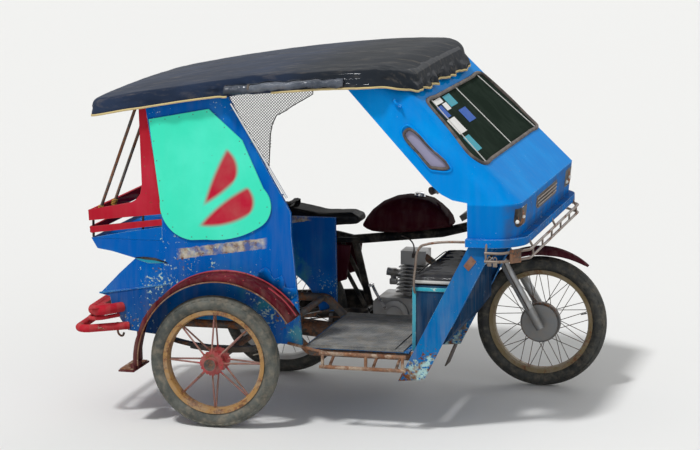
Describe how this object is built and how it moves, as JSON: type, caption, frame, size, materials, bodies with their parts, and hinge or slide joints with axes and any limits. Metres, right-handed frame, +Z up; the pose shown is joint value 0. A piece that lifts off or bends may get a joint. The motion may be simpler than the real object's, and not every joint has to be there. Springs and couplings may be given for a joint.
{
  "type": "motorcycle tricycle taxi",
  "caption": "Small motorcycle joined to a roofed passenger sidecar on its right, with facing benches, a raked nose across the front, a luggage deck and pipe bumpers behind.",
  "frame": {"origin": "on the ground, under the middle of the whole vehicle's length and width", "axes": "+X forward, +Y to the vehicle's left, +Z up"},
  "size_m": [2.2075, 1.707, 1.6165],
  "materials": {
    "blue_paint": "chipped gloss",
    "teal_paint": "chipped gloss",
    "red_paint": "worn paint",
    "frame_paint": "rusty",
    "rusty_steel": "rusted",
    "spring_steel": "greasy",
    "bright_steel": "scratched",
    "alloy": "cast, dusty",
    "black_paint": "dusty satin",
    "maroon_paint": "dusty gloss",
    "black_plastic": "dusty",
    "cream_tape": "faded",
    "mesh": "woven",
    "roof_vinyl": "shiny vinyl",
    "silver_sheet": "shiny crumpled sheet",
    "seat_vinyl": "worn vinyl",
    "pale_vinyl": "worn vinyl",
    "rubber": "dusty",
    "tyre": "dusty",
    "glass": "dusty",
    "lamp": "dull"
  },
  "bodies": {
    "vehicle": {"sidecar_chassis": "frame_paint", "dead_axle": "rusty_steel", "leaf_springs": "spring_steel", "floor_pan": "blue_paint", "floor_mat": "rubber", "step_frame": "rusty_steel", "side_panel_right": "blue_paint", "side_panel_left": "blue_paint", "accent_panel": "teal_paint", "rear_wall": "blue_paint", "tail_body": "blue_paint", "luggage_boards": "red_paint", "rear_bumper": "frame_paint", "wheel_arch": "red_paint", "main_bench_base": "blue_paint", "main_bench_cushion": "pale_vinyl", "main_bench_back": "seat_vinyl", "front_bench_base": "blue_paint", "front_bench_cushion": "pale_vinyl", "handholds": "bright_steel", "roof_canopy": "roof_vinyl", "roof_trim": "cream_tape", "roof_frame": "frame_paint", "rolled_curtain": "silver_sheet", "mesh_screen": "mesh", "nose_shell": "blue_paint", "nose_tray": "blue_paint", "window_glass": "glass", "window_gaskets": "rubber", "front_grille": "bright_steel", "front_lamps": "lamp", "front_rail": "bright_steel", "nose_legs": "blue_paint", "bike_frame": "black_paint", "engine": "alloy", "exhaust": "rusty_steel", "fuel_tank": "maroon_paint", "bike_seat": "seat_vinyl", "side_covers": "maroon_paint", "swingarm": "black_paint", "shock_absorbers": "bright_steel", "chain_case": "black_paint", "rear_guard": "maroon_paint"},
    "steering": {"fork": "alloy", "handlebar": "bright_steel", "headlamp": "black_plastic", "front_guard": "maroon_paint", "mud_flap": "rubber"},
    "front_road_wheel": {"front_tyre": "tyre", "front_wheel": "alloy"},
    "rear_road_wheel": {"rear_tyre": "tyre", "rear_wheel": "alloy"},
    "side_road_wheel": {"sidecar_tyre": "tyre", "sidecar_wheel": "rusty_steel"}
  },
  "joints": [
    {"name": "steering_turn", "type": "hinge", "parent": "vehicle", "child": "steering", "pos_m": [0.75603, 0.386, 0.2825], "axis": [-0.5, 0, 0.866], "range_deg": [-32, 32]},
    {"name": "front_spin", "type": "hinge", "parent": "steering", "child": "front_road_wheel", "pos_m": [0.795, 0.386, 0.305], "axis": [0, 1, 0], "continuous": true},
    {"name": "rear_spin", "type": "hinge", "parent": "vehicle", "child": "rear_road_wheel", "pos_m": [-0.44, 0.386, 0.305], "axis": [0, 1, 0], "continuous": true},
    {"name": "side_spin", "type": "hinge", "parent": "vehicle", "child": "side_road_wheel", "pos_m": [-0.44, -0.764, 0.2915], "axis": [0, 1, 0], "continuous": true}
  ]
}
